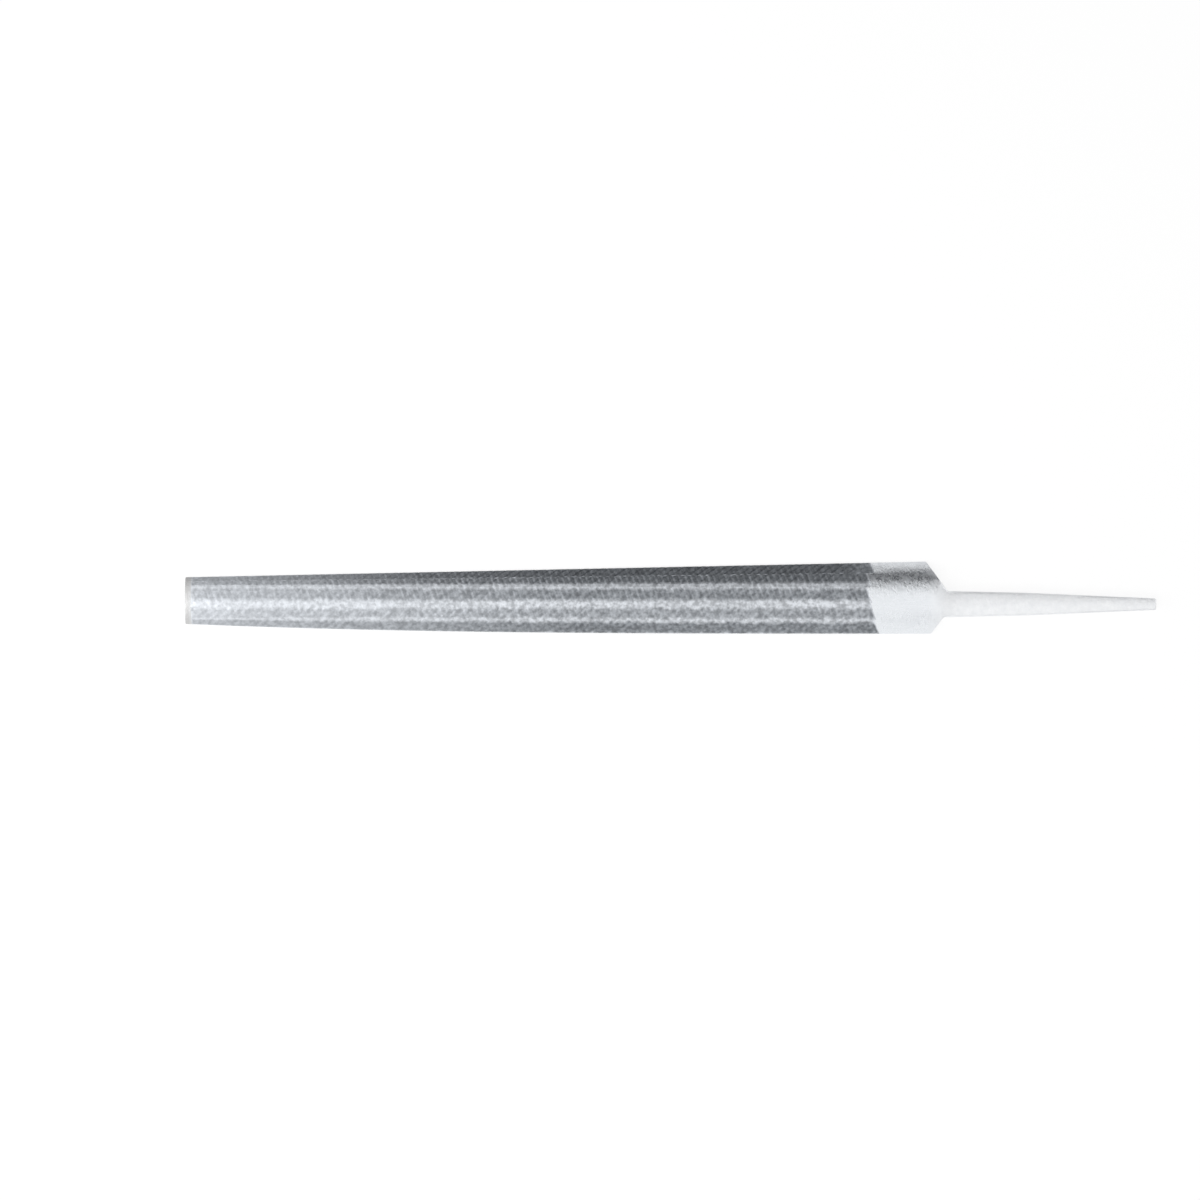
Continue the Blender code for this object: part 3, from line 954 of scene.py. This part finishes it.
def dark_card(name, corners, density):
    """A card of black gauze that only shows in the metal, and lets all other light through.

    Its density is a function of its node tree, which gives a number or an output of a node.
    """
    material, tree = blank_material(name)
    black = add_node(tree, "ShaderNodeBsdfDiffuse", {"Color": CARD_BLACK}).outputs[0]
    clear = add_node(tree, "ShaderNodeBsdfTransparent").outputs[0]
    gauze = add_node(tree, "ShaderNodeMixShader", {0: density(tree), 1: clear, 2: black}).outputs[0]
    add_node(tree, "ShaderNodeOutputMaterial", {"Surface": gauze})
    card = staged(name, corners, material)
    card.visible_camera = False
    card.visible_diffuse = False
    card.visible_shadow = False


def far_card_density(tree):
    """The far card's density, which changes upwards and reaches less high towards the tip."""
    _, (along, _, up) = place_in(tree, METRE)
    height = remap(tree, along, *GAUZE_PLACES, *GAUZE_HEIGHTS)
    ramp = add_node(tree, "ShaderNodeValToRGB", {0: maths(tree, "DIVIDE", up, height)})
    stops = ramp.color_ramp.elements
    for share, _ in GAUZE_DENSITY_SHARES[1:-1]:
        stops.new(share)
    for stop, (_, density) in zip(stops, GAUZE_DENSITY_SHARES):
        stop.color = grey(density)
    return ramp.outputs[0]


def low_card_density(tree):
    """The low card's density, which changes from the tip to the blade and from there to the tang."""
    _, (along, _, _) = place_in(tree, METRE)
    beside_tip, beside_blade, beside_tang = LOW_CARD_DENSITIES
    before_tang = remap(tree, along, *TIP_TO_BLADE, beside_tip, beside_blade)
    inputs = {0: remap(tree, along, *BLADE_TO_TANG), 2: before_tang, 3: beside_tang}
    return add_node(tree, "ShaderNodeMix", inputs, data_type="FLOAT").outputs[0]


def far_card():
    """The card that stands beyond the far side and darkens the far course."""
    dark_card("far_card", upright(FAR_CARD_ENDS, FAR_CARD_Y, FAR_CARD_TOP), far_card_density)


def low_card():
    """The card that lies on the floor, from the far edge of the blade to the far card."""
    start, end = LOW_CARD_ENDS
    slope = FAR_TAPER / BLADE_LENGTH
    start_y, end_y = (HEEL_WIDTH / 2 + (x - HEEL_X) * slope + LOW_CARD_GAP for x in LOW_CARD_ENDS)
    corners = [(start, start_y, 0.0), (end, end_y, 0.0), (end, FAR_CARD_Y, 0.0), (start, FAR_CARD_Y, 0.0)]
    dark_card("low_card", corners, low_card_density)


def near_card():
    """The card that stands on the near side, beyond the heel."""
    corners = upright(NEAR_CARD_ENDS, NEAR_CARD_Y, NEAR_CARD_TOP)
    dark_card("near_card", corners, lambda _tree: NEAR_CARD_DENSITY)


def lamp(name, place, size, power):
    """A soft oblong lamp that looks at the middle of the view."""
    data = bpy.data.lights.new(name, "AREA")
    data.shape = "RECTANGLE"
    data.size, data.size_y = size
    data.energy = power
    made = bpy.data.objects.new(name, data)
    made.location = place
    made.rotation_euler = (place - VIEW_CENTRE).to_track_quat("Z", "Y").to_euler()
    bpy.context.scene.collection.objects.link(made)
    return made


def surroundings():
    """A world that is white where it is seen or reflected, and gives a milder, even light."""
    world = bpy.data.worlds.new("studio")
    world.use_nodes = True
    bpy.context.scene.world = world
    tree = world.node_tree
    background = tree.nodes["Background"]
    background.inputs["Color"].default_value = grey(1.0)
    strength = remap(tree, seen_directly(tree), 0.0, 1.0, WORLD_FILL, 1.0)
    tree.links.new(strength, background.inputs["Strength"])


camera()
dressed_file()
floor()
far_card()
low_card()
near_card()
surroundings()
lamp("overhead_lamp", **OVERHEAD_LAMP).visible_glossy = False
lamp("tip_lamp", **TIP_LAMP).visible_camera = False
bpy.context.scene.view_settings.view_transform = "Standard"
